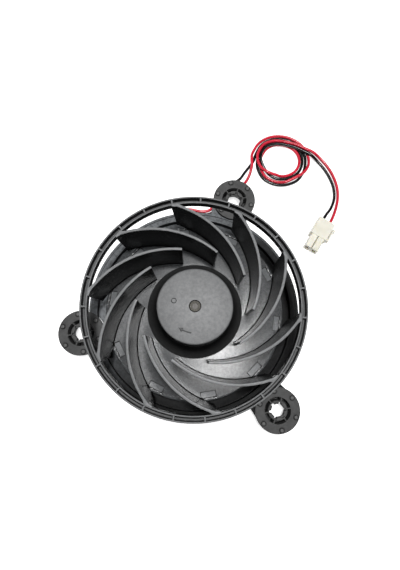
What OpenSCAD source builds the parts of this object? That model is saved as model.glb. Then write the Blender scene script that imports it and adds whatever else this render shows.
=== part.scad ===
// Refrigerator fan: backward-curved impeller on a brushless outer-rotor motor,
// carried by a round dish with three rubber-damped ears and a two-wire lead.
// Units are millimetres. Z is the rotor axis, z = 0 is the back face that rests on a table.

/* [Impeller] */
// Outer radius of the front ring
ring_r = 56; // [50:0.5:62]
// Radial width of the front ring
ring_w = 3.6; // [3:0.1:6]
// Height of the front ring
ring_h = 4.2; // [3:0.1:8]
// Thickness of the walls of the ring's channel
ring_wall = 0.8; // [0.6:0.1:1.2]
// Thickness of the floor of the ring's channel
ring_floor = 1; // [0.6:0.1:2]
// Number of ribs across the ring's channel
rib_count = 23; // [8:1:30]
// Thickness of a rib
rib_t = 0.8; // [0.5:0.1:1.5]
// Angle of the first rib
rib_start = 99.5; // [0:0.5:360]
// Number of blades
blade_count = 10; // [6:1:12]
// Height of the blades above the back plate
blade_h = 25.7; // [24:0.1:36]
// Thickness of a blade
blade_t = 1.5; // [1:0.1:2.2]
// Radius at which the blades begin
blade_inner_r = 28.8; // [28:0.1:34]
// Angle that a blade sweeps from its inner to its outer end
blade_sweep = 70; // [50:1:80]
// Radius of the blade's arc
blade_curve_r = 50; // [40:1:80]
// Angle of the first blade's inner end
blade_start = 28; // [0:1:360]
// Radius of the back plate
plate_r = 49.7; // [44:0.1:52]
// Thickness of the back plate
plate_t = 1.6; // [1.2:0.1:2.5]
// Height of the back plate's underside above the back face
plate_z = 11.2; // [11:0.1:16]
// Length of the shallow pocket in each passage
pocket_l = 8.4; // [4:0.1:12]
// Width of the pocket
pocket_w = 3.4; // [2:0.1:5]
// Depth of the pocket
pocket_d = 0.6; // [0.2:0.1:0.9]
// Radius of the pocket's centre
pocket_r = 46.4; // [42:0.1:47]
// Angle of the pocket from its blade's inner end
pocket_turn = -40; // [-60:1:0]

/* [Hub] */
// Radius of the hub's upright wall
hub_r = 19.6; // [19:0.1:22]
// Height of the hub above the back plate
hub_h = 19.9; // [19.9:0.1:23]
// Wall of the hub
hub_wall = 1.6; // [1.2:0.1:2]
// Reach of the hollow flare at the hub's foot, outwards and upwards
flare_r = 7; // [4:0.5:7]
// Radius of the flare's hollow curve
flare_curve_r = 14; // [10:0.5:20]
// Rounding of the hub's top edge
hub_round = 1; // [0.4:0.1:1.5]
// Height of the step above the flare
hub_step = 0.5; // [0.3:0.1:0.8]
// Number of ribs that hold the yoke in the hub
hub_ribs = 8; // [4:1:12]
// Thickness of those ribs
hub_rib_t = 1.2; // [0.8:0.1:2]
// Radius of the raised rotation arrow
arrow_r = 13.6; // [10:0.1:15]
// Angle of the arrow's tail
arrow_from = 259; // [0:1:360]
// Angle that the arrow's bar sweeps
arrow_sweep = 20; // [10:1:60]
// Width of the arrow's bar
arrow_w = 0.7; // [0.4:0.1:1]
// Length and width of the arrow's head
arrow_head = 2.4; // [1.5:0.1:3]
// Radius of the raised ring beside the arrow
mark_r = 1.4; // [1:0.1:2]
// Width of that ring
mark_w = 0.4; // [0.3:0.1:0.6]
// Distance of the round mark from the edge of the hub
mark_inset = 8.5; // [6:0.1:10]
// Angle of the round mark
mark_angle = 162; // [150:1:180]
// Height of the raised marks
mark_h = 0.3; // [0.2:0.1:0.5]

/* [Motor] */
// Shaft diameter
shaft_d = 3; // [2.5:0.1:3.2]
// Radial running clearance of the shaft in its bearings
shaft_clear = 0.03; // [0.02:0.01:0.06]
// Radius of the insert that grips the shaft
insert_r = 2.7; // [2.4:0.1:3.2]
// Outer radius of the bearing tube
tube_r = 4; // [3.8:0.1:4.4]
// Wall of the bearing tube
tube_wall = 0.9; // [0.6:0.1:1.1]
// Length of each sleeve bearing
bearing_l = 6; // [4:0.5:8]
// Gap between the hub's wall and the steel rotor yoke
yoke_gap = 1.2; // [0.8:0.1:1.6]
// Sheet thickness of the yoke
yoke_t = 1; // [0.8:0.1:1.2]
// Thickness of the ring magnet
magnet_t = 1.3; // [1:0.1:1.6]
// Length of the ring magnet
magnet_l = 14; // [10:0.5:14.5]
// Air gap between magnet and stator
air_gap = 0.5; // [0.4:0.1:0.8]
// Stack height of the stator core
core_h = 9; // [6:0.5:9.5]
// Number of stator teeth
tooth_count = 4; // [4:1:4]
// Width of a stator tooth
tooth_w = 4.6; // [3:0.1:5]
// Thickness of the stator's end insulators
insulator_t = 1.2; // [0.8:0.1:1.4]
// Build-up of the winding on each side of a tooth
winding_t = 1.8; // [1:0.1:2]
// Radius of the circuit board
board_r = 20.4; // [20:0.1:22]
// Thickness of the circuit board
board_t = 1.2; // [0.8:0.1:1.6]
// Height of the parts on the board
part_h = 1.3; // [0.8:0.1:1.5]
// Distance of the chip and the capacitor from the board's edge
part_inset = 8.4; // [7:0.1:9]
// Length of the driver chip, along the radius
chip_l = 5; // [4:0.1:6]
// Width of the driver chip
chip_w = 6; // [4:0.1:7]
// Angle of the driver chip
chip_angle = 200; // [180:1:220]
// Length of the capacitor, along the radius
capacitor_l = 1.8; // [1:0.1:2.5]
// Width of the capacitor
capacitor_w = 3.4; // [2:0.1:4]
// Angle of the capacitor
capacitor_angle = 290; // [270:1:310]
// Length of the hall sensor, along the radius
hall_l = 1.5; // [1:0.1:2]
// Width of the hall sensor
hall_w = 4; // [3:0.1:4.5]
// Angle of the hall sensor
hall_angle = 45; // [30:1:60]

/* [Frame] */
// Radius of the dish
dish_r = 60; // [59:0.5:66]
// Width of the raised rim of the dish
rim_w = 4.4; // [3.6:0.1:6]
// Height of the rim's flat top above the back face
rim_z = 8.4; // [7:0.1:8.8]
// Height of the lip round the rim
lip_h = 0.7; // [0.4:0.1:1]
// Wall of the dish
dish_wall = 1.3; // [1:0.1:1.6]
// Height of the dish floor's underside above the back face
floor_z = 2.7; // [2.6:0.1:3.4]
// Thickness of the dish floor
floor_t = 1.7; // [1.2:0.1:2.2]
// Radius of the foot under the motor
foot_r = 24; // [23:0.5:28]
// Number of ribs under the dish
back_ribs = 8; // [3:1:12]
// Angle of the first rib under the dish
back_rib_start = -5; // [-30:1:30]
// Thickness of a rib under the dish
back_rib_t = 1.2; // [0.8:0.1:2]
// Height of the ribs' lower edge above the back face
back_rib_z = 0.8; // [0.4:0.1:1.5]
// Radius of the boss that carries the bearing tube
boss_r = 7.5; // [6.5:0.1:9]
// Height of the circuit board's underside above the back face
board_z = 8.4; // [8:0.1:8.6]
// Radius of the ear's eye round a damper
ear_r = 12.2; // [12:0.1:14]
// Thickness of the ear
ear_t = 2.6; // [2:0.1:3]
// Half width of the ear's web at the dish
web_half = 10; // [8:0.5:12]

/* [Dampers] */
// Distance of the top damper's middle from the edge of the dish
damper_top_out = 12; // [9:0.1:13]
// Angle of the top damper
damper_top_angle = 67.5; // [64:0.5:70]
// Distance of the left damper's middle from the edge of the dish
damper_left_out = 4.7; // [4.5:0.1:12]
// Angle of the left damper
damper_left_angle = 187.5; // [170:0.5:200]
// Distance of the right damper's middle from the edge of the dish
damper_right_out = 11.6; // [5:0.1:14]
// Angle of the right damper
damper_right_angle = 306.5; // [290:0.5:320]
// Number of gripping pads, and of spokes and of pips
pad_count = 6; // [4:1:8]
// Height of a damper
damper_h = 10.4; // [9.8:0.1:10.6]
// Radius of the upper flange
flange_r = 12.6; // [12.2:0.1:13.4]
// Thickness of the upper flange
flange_t = 2; // [1.5:0.1:2.2]
// Radius of the lower flange
lower_flange_r = 11; // [10:0.1:11.4]
// Radius of the damper's foot
damper_foot_r = 7.9; // [7.6:0.1:8.4]
// Radius of the groove that takes the ear
groove_r = 9; // [8.6:0.1:9.6]
// Radius of the hole between its gripping pads
pad_r = 3.5; // [3:0.1:3.8]
// Radius of the hole at the notches between the pads
notch_r = 4.6; // [4.2:0.1:4.8]
// Half angle of a notch
notch_half = 11; // [6:1:16]
// Inner radius of the ring of slots
slot_inner_r = 5.4; // [5.2:0.1:5.8]
// Outer radius of the ring of slots
slot_outer_r = 7.3; // [6.6:0.1:7.4]
// Depth of the slots
slot_depth = 7; // [2:0.5:8]
// Thickness of the spokes between the slots
spoke_t = 0.7; // [0.5:0.1:1.2]
// Radius of a pip on the flange
pip_r = 1.25; // [0.8:0.05:1.4]
// Radius of the circle of pips
pip_circle_r = 10.6; // [9.5:0.1:10.8]
// Height of a pip
pip_h = 0.4; // [0.2:0.05:0.45]
// Bevel of the damper's foot and of its lower flange
foot_bevel = 0.6; // [0.3:0.1:1]
// Bevel of the upper flange
flange_bevel = 0.4; // [0.2:0.1:0.8]

/* [Lead and connector] */
// Diameter of a lead
lead_d = 1.8; // [1.4:0.1:1.9]
// Distance between the two leads inside the frame
lead_pitch = 2; // [1.9:0.1:2.4]
// Angle at which the leads leave the dish
lead_exit_angle = 95; // [90:1:100]
// Radius of the hole that takes the leads up to the board
lead_hole_r = 17.6; // [16:0.1:18.2]
// Angle of that hole
lead_hole_angle = 132; // [120:1:140]
// Pitch of the connector's ways
conn_pitch = 4.5; // [4.5:0.1:5]
// Width of the connector's rear block
conn_w = 10.8; // [10.6:0.1:12]
// Height of the connector
conn_h = 7; // [6.6:0.1:8]
// Length of the connector's rear block
conn_rear_l = 11.8; // [10:0.1:14]
// Length of the connector's front towers
conn_front_l = 8.6; // [6:0.1:10]
// Width of a front tower
tower_w = 4.2; // [4:0.1:4.3]
// Height of a front tower
tower_h = 6; // [5.6:0.1:6.4]
// Rounding of the connector's edges
conn_round = 0.8; // [0.3:0.1:1]
// Width of a socket in the front of the connector
socket_w = 2.4; // [2:0.1:2.6]
// Diameter of a lead hole in the back of the connector
wire_hole_d = 2.6; // [2.2:0.1:3]
// Length of the latch arm
latch_l = 9; // [6:0.5:9]
// Width of the latch arm
latch_w = 2.6; // [2:0.1:3]
// Thickness of the latch arm
latch_t = 0.9; // [0.7:0.1:1.2]
// Gap between the latch arm and the housing
latch_gap = 0.7; // [0.5:0.1:1]

/* [Hidden] */
$fn = 64;

// Small gaps and margins
fit_gap = 0.02;
cut = 1;
groove_gap = 0.05;
flange_gap = 0.3;

// Heights of the impeller
plate_top = plate_z + plate_t;
front_z = plate_top + blade_h;
hub_top = plate_top + hub_h;
hub_roof = hub_top - hub_wall;
hub_foot_r = hub_r + flare_r;
ring_inner_r = ring_r - ring_w;

// Hollow curve of the flare, through the hub's step and the edge of the flare's foot
flare_high = [hub_r + hub_step, plate_top + flare_r];
flare_low = [hub_foot_r, plate_top];
flare_chord = flare_low - flare_high;
flare_out = [-flare_chord[1], flare_chord[0]] / norm(flare_chord);
flare_sag = sqrt(pow(flare_curve_r, 2) - pow(norm(flare_chord) / 2, 2));
flare_centre = (flare_high + flare_low) / 2 + flare_out * flare_sag;

// Arc of the first blade, through its inner and outer end
blade_in = blade_inner_r * [cos(blade_start), sin(blade_start)];
blade_out = ring_inner_r * [cos(blade_start + blade_sweep), sin(blade_start + blade_sweep)];
blade_chord = blade_out - blade_in;
blade_len = norm(blade_chord);
blade_along = blade_chord / blade_len;
blade_side = [blade_along[1], -blade_along[0]];
blade_mid = (blade_in + blade_out) / 2;
blade_centre = blade_mid - blade_side * sqrt(pow(blade_curve_r, 2) - pow(blade_len / 2, 2));
blade_far = 2 * blade_curve_r;

// Heights of the motor
shaft_r = shaft_d / 2;
tube_inner_r = tube_r - tube_wall;
foot_floor = 1.3;
thrust_t = 0.8;
shaft_bottom = foot_floor + thrust_t + groove_gap;
shaft_recess = 0.4;
clip_gap = 0.4;
clip_t = 0.4;
clip_z = shaft_bottom + clip_t + clip_gap;
clip_r = tube_inner_r - clip_gap;
clip_groove_r = shaft_r - clip_t;
lower_bearing_z = clip_z + clip_t + clip_gap;
washer_t = 0.4;
insert_gap = 0.2;
insert_recess = 0.2;
insert_foot = 0.7;
yoke_r = hub_r - hub_wall - yoke_gap;
yoke_top = hub_roof - groove_gap;
yoke_lip = 0.4;
insert_bottom = yoke_top - yoke_t - insert_foot;
tube_top = insert_bottom - insert_gap - washer_t;
upper_bearing_z = tube_top - bearing_l;
magnet_outer_r = yoke_r - yoke_t - fit_gap;
magnet_inner_r = magnet_outer_r - magnet_t;
magnet_drop = 1.6;
magnet_top = yoke_top - yoke_t - magnet_drop;
yoke_bottom = magnet_top - magnet_l - yoke_lip;
core_r = magnet_inner_r - air_gap;
core_mid = magnet_top - magnet_l / 2;
core_z = core_mid - core_h / 2;
core_ring_w = 3;
core_ring_r = tube_r + core_ring_w;
shoe_t = 1.5;
shoe_half = 36;
coil_gap = 0.3;
board_top = board_z + board_t;
board_hole_gap = 0.1;
part_r = board_r - part_inset;
peg_r = 1.5;
peg_inset = 1;
peg_angles = [30, 210, 300];

// Heights of the frame and the dampers, and the dampers' places as [radius, angle]
floor_top = floor_z + floor_t;
rim_inner_r = dish_r - rim_w;
ear_top_z = damper_h - flange_t - groove_gap;
ear_bottom_z = ear_top_z - ear_t;
eye_r = groove_r + groove_gap;
lower_flange_t = 2;
lower_flange_z = ear_bottom_z - groove_gap - lower_flange_t;
pip_taper = 0.7;
damper_top = [dish_r + damper_top_out, damper_top_angle];
damper_left = [dish_r + damper_left_out, damper_left_angle];
damper_right = [dish_r + damper_right_out, damper_right_angle];

// Straight run of the leads under the dish
lead_r = lead_d / 2;
lead_z = floor_z - lead_r - groove_gap;
lead_from = lead_hole_r * [cos(lead_hole_angle), sin(lead_hole_angle)];
lead_to = dish_r * [cos(lead_exit_angle), sin(lead_exit_angle)];
lead_run = norm(lead_to - lead_from);
lead_heading = atan2(lead_to[1] - lead_from[1], lead_to[0] - lead_from[0]);
lead_bend_r = 1.5 * lead_d;
clip_wall = 1.2;
clip_bar = 0.5;
lead_slot_gap = 0.3;
lead_slot_w = lead_pitch + lead_d + 2 * lead_slot_gap;
lead_clip_at = [14, 38];
lead_clip_l = 4;

// The free leads and the connector are placed for this radius of the top damper, and move out with it
route_damper_r = 70.5;
route_shift = (damper_top[0] - route_damper_r) * [cos(damper_top_angle), sin(damper_top_angle)];

// Place of the connector: the middle of its front face, and its turn about Z
conn_at = [72.4, 33.8] + route_shift;
conn_turn = -35;
conn_axis_z = 3.6;
conn_l = conn_front_l + conn_rear_l;
wire_depth = 3;
wire_rise = 0.4;
wire_straight = [5, 0.5];
terminal_inset = 1.2;
terminal_gap = 0.15;
terminal_wall = 0.3;
latch_from = 1;
latch_root = 1.6;
latch_catch = 0.7;
latch_catch_l = 2;

// Routes of the free leads, as points [x, y, z] on the table in front of the fan's rim.
// The turns of the loose coil are given as [angle, radius, height] about its middle.
coil_at = [60, 95] + route_shift;

red_start = [
    [-5.8, 62.6, 1.3], [-4, 64, 0.9], [0.4, 64, 0.9], [6, 62.6, 0.9], [10.4, 62.5, 0.9],
    [13.8, 64.2, 0.9], [16.3, 68.7, 0.9], [19, 74.4, 1.4], [23.2, 77.8, 2.7], [28.6, 78.8, 2.9],
    [33, 78.6, 1.6], [36.2, 80.6, 0.9], [38.9, 84.6, 1.6], [40.6, 89.2, 2.6], [41.2, 92.4, 2.9],
    [41.4, 95.8, 2.6]
];
red_coil = [
    [162, 18.4, 1], [135, 17.8, 0.9], [110, 17.2, 0.9], [85, 16.9, 0.9], [60, 17.2, 0.9],
    [35, 18, 0.9], [10, 18.6, 0.9], [-12, 18.6, 1.8], [-35, 17.2, 3.1], [-58, 15.4, 2.3],
    [-85, 15.2, 0.9], [-110, 15.2, 0.9], [-135, 15, 0.9], [-160, 13.9, 0.9], [-180, 13, 0.9],
    [-200, 12, 0.9], [-225, 11.6, 0.9], [-250, 11.2, 0.9], [-275, 10.9, 0.9], [-300, 11.2, 0.9],
    [-325, 12, 0.9], [-350, 12.6, 0.9], [-375, 12.6, 0.9], [-400, 12.2, 0.9], [-425, 11.5, 0.9],
    [-450, 11.2, 1.1], [-472, 11.4, 2.4], [-495, 12.8, 3.3], [-518, 14.2, 2.9], [-540, 15, 2.9],
    [-560, 14.9, 2.9], [-585, 14.4, 2.9], [-610, 13.1, 2.9], [-632, 12.3, 2.9], [-655, 12.4, 2.9]
];
red_end = [
    [71.2, 104.2, 2.9], [76.6, 101.4, 2.9], [81.8, 98.8, 2.5], [86.6, 94.8, 1.2], [90.8, 89, 0.9],
    [93.8, 82, 0.9], [95.3, 74.6, 0.9], [94.8, 67.2, 0.9], [92.4, 60, 1.6]
];
black_start = [
    [-3.8, 61.2, 1.3], [-1.8, 62, 0.9], [2, 61.5, 0.9], [6.6, 60.5, 0.9], [11.4, 60.4, 0.9],
    [15.2, 62.4, 0.9], [18, 67.8, 0.9], [20.8, 72.8, 0.9], [24.3, 76.8, 0.9], [28.6, 80.4, 0.9],
    [33, 83.2, 0.9], [36.4, 87.4, 0.9], [39.8, 91.4, 0.9], [42.8, 95.4, 0.9]
];
black_coil = [
    [162, 16.1, 0.9], [135, 15.7, 0.9], [110, 15.1, 0.9], [85, 14.8, 0.9], [60, 15.1, 0.9],
    [35, 15.9, 0.9], [10, 16.5, 0.9], [-12, 16.6, 0.9], [-35, 16.9, 0.9], [-58, 17.4, 0.9],
    [-85, 17.2, 0.9], [-110, 17.2, 0.9], [-135, 17, 0.9], [-160, 15.9, 0.9], [-180, 14.9, 0.9],
    [-200, 13.9, 0.9], [-225, 13.6, 0.9], [-250, 13.1, 0.9], [-275, 12.8, 0.9], [-300, 13.1, 0.9],
    [-325, 13.9, 0.9], [-350, 14.5, 0.9], [-375, 14.5, 0.9], [-400, 14.2, 0.9], [-425, 13.4, 0.9],
    [-450, 13.1, 0.9], [-472, 12.9, 0.9], [-495, 12.4, 1.2], [-518, 12.2, 2.1], [-540, 12.8, 2.9],
    [-560, 12.8, 2.9], [-585, 12.4, 2.9], [-610, 11.1, 2.9], [-632, 10.3, 2.9], [-655, 10.4, 2.9]
];
black_end = [
    [69.6, 102.8, 2.9], [75.2, 99.8, 2.9], [80, 96.8, 2.8], [84.6, 92.8, 1.2], [88.6, 87.2, 0.9],
    [91.6, 80.4, 0.9], [93, 73.8, 0.9], [92.4, 67, 0.9], [89.4, 60.8, 1.6]
];

function on_coil(rows) = [for (p = rows)
    [coil_at[0] + p[1] * cos(p[0]), coil_at[1] + p[1] * sin(p[0]), p[2]]];
function moved(rows) = [for (p = rows) [p[0] + route_shift[0], p[1] + route_shift[1], p[2]]];
function turned(p, a) = [p[0] * cos(a) - p[1] * sin(a), p[0] * sin(a) + p[1] * cos(a)];
function at_conn(x, y, z) = concat(conn_at + turned([x, y], conn_turn), [z]);
function at_exit(side, out) =
    concat(lead_to + turned([out, side * lead_pitch / 2], lead_heading), [lead_z]);
function out_of_exit(side) = [at_exit(side, 0), at_exit(side, lead_d)];
function into_conn(side) = [
    at_conn(side * conn_pitch / 2, conn_l + wire_straight[0], conn_axis_z - wire_rise),
    at_conn(side * conn_pitch / 2, conn_l + wire_straight[1], conn_axis_z),
    at_conn(side * conn_pitch / 2, conn_l - wire_depth, conn_axis_z)
];
function route(side, start, coil, end) =
    concat(out_of_exit(side), moved(start), on_coil(coil), moved(end), into_conn(side));
red_route = route(1, red_start, red_coil, red_end);
black_route = route(-1, black_start, black_coil, black_end);

// Cross-section rings of a tube that follows a list of points
tube_sides = 8;
function unit(v) = v / norm(v);
function heading_at(route, i) =
    unit(route[min(i + 1, len(route) - 1)] - route[max(i - 1, 0)]);
function ring_at(route, i, r) =
    let (t = heading_at(route, i), s = unit(cross(t, [0, 0, 1])), u = cross(s, t))
    [for (k = [0 : tube_sides - 1])
        route[i] + r * (cos(360 * k / tube_sides) * s + sin(360 * k / tube_sides) * u)];

module swept_tube(route, r) {
    n = len(route);
    skin = [for (i = [0 : n - 1]) each ring_at(route, i, r)];
    sides = [for (i = [0 : n - 2], k = [0 : tube_sides - 1])
        let (j = (k + 1) % tube_sides, a = i * tube_sides, b = a + tube_sides)
        [a + k, b + k, b + j, a + j]];
    first = [for (k = [0 : tube_sides - 1]) k];
    last = [for (k = [tube_sides - 1 : -1 : 0]) (n - 1) * tube_sides + k];
    polyhedron(points = skin, faces = concat([first], sides, [last]));
}

module hollow(outer, inner, h) {
    difference() {
        cylinder(r = outer, h = h);
        translate([0, 0, -cut]) cylinder(r = inner, h = h + 2 * cut);
    }
}

module ring_of(count, start = 0) {
    for (i = [0 : count - 1]) rotate(start + i * 360 / count) children();
}

module at_damper(place) {
    rotate(place[1]) translate([place[0], 0, 0]) children();
}

// Frame

module lead_line() {
    translate([lead_from[0], lead_from[1], 0]) rotate(lead_heading) children();
}

module lead_clip() {
    translate([0, -lead_slot_w / 2 - clip_wall, 0]) difference() {
        cube([lead_clip_l, lead_slot_w + 2 * clip_wall, floor_z + groove_gap]);
        translate([-cut, clip_wall, clip_bar]) cube([lead_clip_l + 2 * cut, lead_slot_w, floor_z]);
    }
}

module dish_profile() {
    square([foot_r, floor_z]);
    translate([0, floor_z]) square([rim_inner_r + dish_wall, floor_t]);
    translate([0, floor_z]) square([boss_r, board_z - floor_z]);
    translate([rim_inner_r, floor_z]) square([dish_wall, rim_z - floor_z]);
    translate([rim_inner_r, rim_z - dish_wall]) square([rim_w, dish_wall]);
    translate([dish_r - dish_wall, floor_z]) square([dish_wall, rim_z + lip_h - floor_z]);
}

module frame_dish() {
    peg_circle_r = board_r - peg_r - peg_inset;
    rib_l = rim_inner_r + dish_wall / 2 - foot_r;
    color("dimgray") {
        difference() {
            union() {
                rotate_extrude() dish_profile();
                ring_of(back_ribs, back_rib_start)
                    translate([foot_r - groove_gap, -back_rib_t / 2, back_rib_z])
                        cube([rib_l, back_rib_t, floor_z + groove_gap - back_rib_z]);
            }
            translate([0, 0, foot_floor]) cylinder(r = tube_r + fit_gap, h = board_z);
            for (place = [damper_top, damper_left, damper_right])
                at_damper(place) {
                    translate([0, 0, -cut]) cylinder(r = ear_r, h = front_z);
                    translate([0, 0, ear_top_z]) cylinder(r = flange_r + flange_gap, h = front_z);
                }
            lead_line() translate([-lead_slot_w / 2, -lead_slot_w / 2, -cut]) {
                cube([lead_slot_w / 2 + lead_bend_r, lead_slot_w, floor_top + 2 * cut]);
                cube([lead_run, lead_slot_w, floor_z + cut]);
            }
        }
        lead_line() for (x = lead_clip_at) translate([x, 0, 0]) lead_clip();
        for (a = peg_angles) rotate(a) translate([peg_circle_r, 0, floor_top - groove_gap])
            cylinder(r = peg_r, h = board_z - floor_top + groove_gap);
    }
}

module ear_outline(place) {
    difference() {
        union() {
            translate([place[0], 0]) circle(r = ear_r);
            difference() {
                polygon([[rim_inner_r, -web_half], [place[0], -ear_r],
                    [place[0], ear_r], [rim_inner_r, web_half]]);
                circle(r = dish_r);
            }
        }
        translate([place[0], 0]) circle(r = eye_r);
    }
}

module ear(place) {
    color("dimgray") rotate(place[1]) translate([0, 0, ear_bottom_z])
        linear_extrude(ear_t) ear_outline(place);
}

// Dampers

module damper_profile() {
    lower_flange_top = lower_flange_z + lower_flange_t;
    groove_top = damper_h - flange_t;
    polygon([[0, 0], [damper_foot_r - foot_bevel, 0], [damper_foot_r, foot_bevel],
        [damper_foot_r, lower_flange_z], [lower_flange_r, lower_flange_z + foot_bevel],
        [lower_flange_r, lower_flange_top], [groove_r, lower_flange_top],
        [groove_r, groove_top], [flange_r, groove_top],
        [flange_r, damper_h - flange_bevel], [flange_r - flange_bevel, damper_h], [0, damper_h]]);
}

module damper_hole() {
    reach = 2 * notch_r;
    side = reach * tan(notch_half);
    circle(r = pad_r);
    intersection() {
        circle(r = notch_r);
        ring_of(pad_count) polygon([[0, 0], [reach, side], [reach, -side]]);
    }
}

module damper_slots() {
    difference() {
        circle(r = slot_outer_r);
        circle(r = slot_inner_r);
        ring_of(pad_count) translate([0, -spoke_t / 2]) square([2 * slot_outer_r, spoke_t]);
    }
}

module damper(place) {
    color("darkslategray") at_damper(place) {
        difference() {
            rotate_extrude() damper_profile();
            translate([0, 0, -cut]) linear_extrude(damper_h + 2 * cut) damper_hole();
            translate([0, 0, damper_h - slot_depth]) linear_extrude(slot_depth + cut) damper_slots();
        }
        ring_of(pad_count, 180 / pad_count) translate([pip_circle_r, 0, damper_h - groove_gap])
            cylinder(r1 = pip_r, r2 = pip_taper * pip_r, h = pip_h + groove_gap);
    }
}

// Bearings

module bearing_tube() {
    color("goldenrod") translate([0, 0, foot_floor]) hollow(tube_r, tube_inner_r, tube_top - foot_floor);
}

module thrust_pad() {
    color("ivory") translate([0, 0, foot_floor]) cylinder(r = tube_inner_r - fit_gap, h = thrust_t);
}

module sleeve_bearing(z) {
    color("peru") translate([0, 0, z]) hollow(tube_inner_r - fit_gap, shaft_r + shaft_clear, bearing_l);
}

// Circuit board and what is soldered to it

module circuit_board() {
    color("darkgreen") translate([0, 0, board_z]) hollow(board_r, tube_r + board_hole_gap, board_t);
}

module on_board(r, a, size) {
    rotate(a) translate([r, 0, board_top]) translate([-size[0] / 2, -size[1] / 2, 0]) cube(size);
}

module hall_sensor() {
    color("black") on_board(magnet_inner_r, hall_angle, [hall_l, hall_w, part_h]);
}

module driver_chip() {
    color("black") on_board(part_r, chip_angle, [chip_l, chip_w, part_h]);
}

module board_capacitor() {
    color("tan") on_board(part_r, capacitor_angle, [capacitor_l, capacitor_w, part_h]);
}

// Stator

module stator_outline() {
    difference() {
        union() {
            circle(r = core_ring_r);
            ring_of(tooth_count) translate([0, -tooth_w / 2]) square([core_r - shoe_t / 2, tooth_w]);
            intersection() {
                difference() {
                    circle(r = core_r);
                    circle(r = core_r - shoe_t);
                }
                ring_of(tooth_count) polygon([[0, 0],
                    2 * core_r * [cos(shoe_half), -sin(shoe_half)],
                    2 * core_r * [cos(shoe_half), sin(shoe_half)]]);
            }
        }
        circle(r = tube_r + fit_gap);
    }
}

module stator_core() {
    color("silver") translate([0, 0, core_z]) linear_extrude(core_h) stator_outline();
}

module insulator_plate() {
    linear_extrude(insulator_t) stator_outline();
}

module lower_insulator() {
    color("white") {
        translate([0, 0, core_z - insulator_t]) insulator_plate();
        translate([0, 0, board_top]) hollow(core_ring_r, tube_r + fit_gap, core_z - board_top);
    }
}

module upper_insulator() {
    color("white") translate([0, 0, core_z + core_h]) insulator_plate();
}

module stator_coils() {
    coil_in = core_ring_r + coil_gap;
    inner_w = tooth_w + 2 * fit_gap;
    coil_half = inner_w / 2 + winding_t;
    coil_out = sqrt(pow(core_r - shoe_t, 2) - pow(coil_half, 2)) - coil_gap;
    inner_h = core_h + 2 * insulator_t + 2 * fit_gap;
    color("chocolate") ring_of(tooth_count) translate([coil_in, 0, core_mid]) rotate([90, 0, 90])
        linear_extrude(coil_out - coil_in) difference() {
            square([inner_w + 2 * winding_t, inner_h + 2 * winding_t], center = true);
            square([inner_w, inner_h], center = true);
        }
}

// Leads

module inner_lead(side) {
    bend_z = lead_z + lead_bend_r;
    lead_line() translate([0, side * lead_pitch / 2, 0]) {
        translate([0, 0, bend_z]) cylinder(r = lead_r, h = board_z - bend_z);
        translate([lead_bend_r, 0, bend_z]) rotate([90, 90, 0])
            rotate_extrude(angle = -90) translate([lead_bend_r, 0]) circle(r = lead_r);
        translate([lead_bend_r, 0, lead_z]) rotate([0, 90, 0])
            cylinder(r = lead_r, h = lead_run - lead_bend_r);
    }
}

module inner_red_lead() {
    color("crimson") inner_lead(1);
}

module inner_black_lead() {
    color("black") inner_lead(-1);
}

module red_lead() {
    color("crimson") swept_tube(red_route, lead_r);
}

module black_lead() {
    color("black") swept_tube(black_route, lead_r);
}

// Connector

module rounded_bar(w, h, l) {
    r = conn_round;
    rotate([-90, 0, 0]) translate([0, -h, 0]) linear_extrude(l) union() {
        translate([-w / 2 + r, 0]) square([w - 2 * r, h]);
        translate([-w / 2, r]) square([w, h - 2 * r]);
        for (x = [r - w / 2, w / 2 - r], y = [r, h - r]) translate([x, y]) circle(r = r);
    }
}

module on_conn() {
    translate([conn_at[0], conn_at[1], 0]) rotate(conn_turn) children();
}

module each_way() {
    for (side = [-1, 1]) translate([side * conn_pitch / 2, 0, conn_axis_z]) children();
}

module connector_housing() {
    tower_z = conn_axis_z - tower_h / 2;
    latch_x = conn_w / 2 + latch_gap;
    latch_y = conn_front_l + latch_from;
    catch_y = latch_y + latch_l - latch_catch_l;
    latch_z = conn_axis_z - latch_w / 2;
    color("ivory") on_conn() {
        difference() {
            union() {
                translate([0, conn_front_l, 0]) rounded_bar(conn_w, conn_h, conn_rear_l);
                for (side = [-1, 1]) translate([side * conn_pitch / 2, 0, tower_z])
                    rounded_bar(tower_w, tower_h, conn_front_l + cut);
            }
            each_way() {
                translate([-socket_w / 2, -cut, -socket_w / 2])
                    cube([socket_w, conn_l - wire_depth - 2 * cut, socket_w]);
                translate([0, conn_l + cut, 0]) rotate([90, 0, 0])
                    cylinder(d = wire_hole_d, h = wire_depth + 4 * cut);
            }
        }
        translate([conn_w / 2 - groove_gap, latch_y, latch_z])
            cube([latch_gap + latch_t, latch_root, latch_w]);
        translate([latch_x, latch_y, latch_z]) cube([latch_t, latch_l, latch_w]);
        translate([latch_x, catch_y, latch_z]) cube([latch_t + latch_catch, latch_catch_l, latch_w]);
    }
}

module connector_terminals() {
    terminal_r = socket_w / 2 - terminal_gap;
    terminal_l = conn_l - wire_depth - terminal_inset - groove_gap;
    color("khaki") on_conn() each_way() translate([0, terminal_inset, 0]) rotate([-90, 0, 0]) difference() {
        cylinder(r = terminal_r, h = terminal_l);
        translate([0, 0, -cut]) cylinder(r = terminal_r - terminal_wall, h = conn_front_l);
    }
}

// Rotor of the motor

module shaft() {
    color("lightsteelblue") difference() {
        translate([0, 0, shaft_bottom]) cylinder(r = shaft_r, h = hub_top - shaft_recess - shaft_bottom);
        translate([0, 0, clip_z]) hollow(2 * shaft_r, clip_groove_r, clip_t);
    }
}

module retaining_clip() {
    color("gray") translate([0, 0, clip_z + fit_gap])
        hollow(clip_r, clip_groove_r + fit_gap, clip_t - 2 * fit_gap);
}

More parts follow.
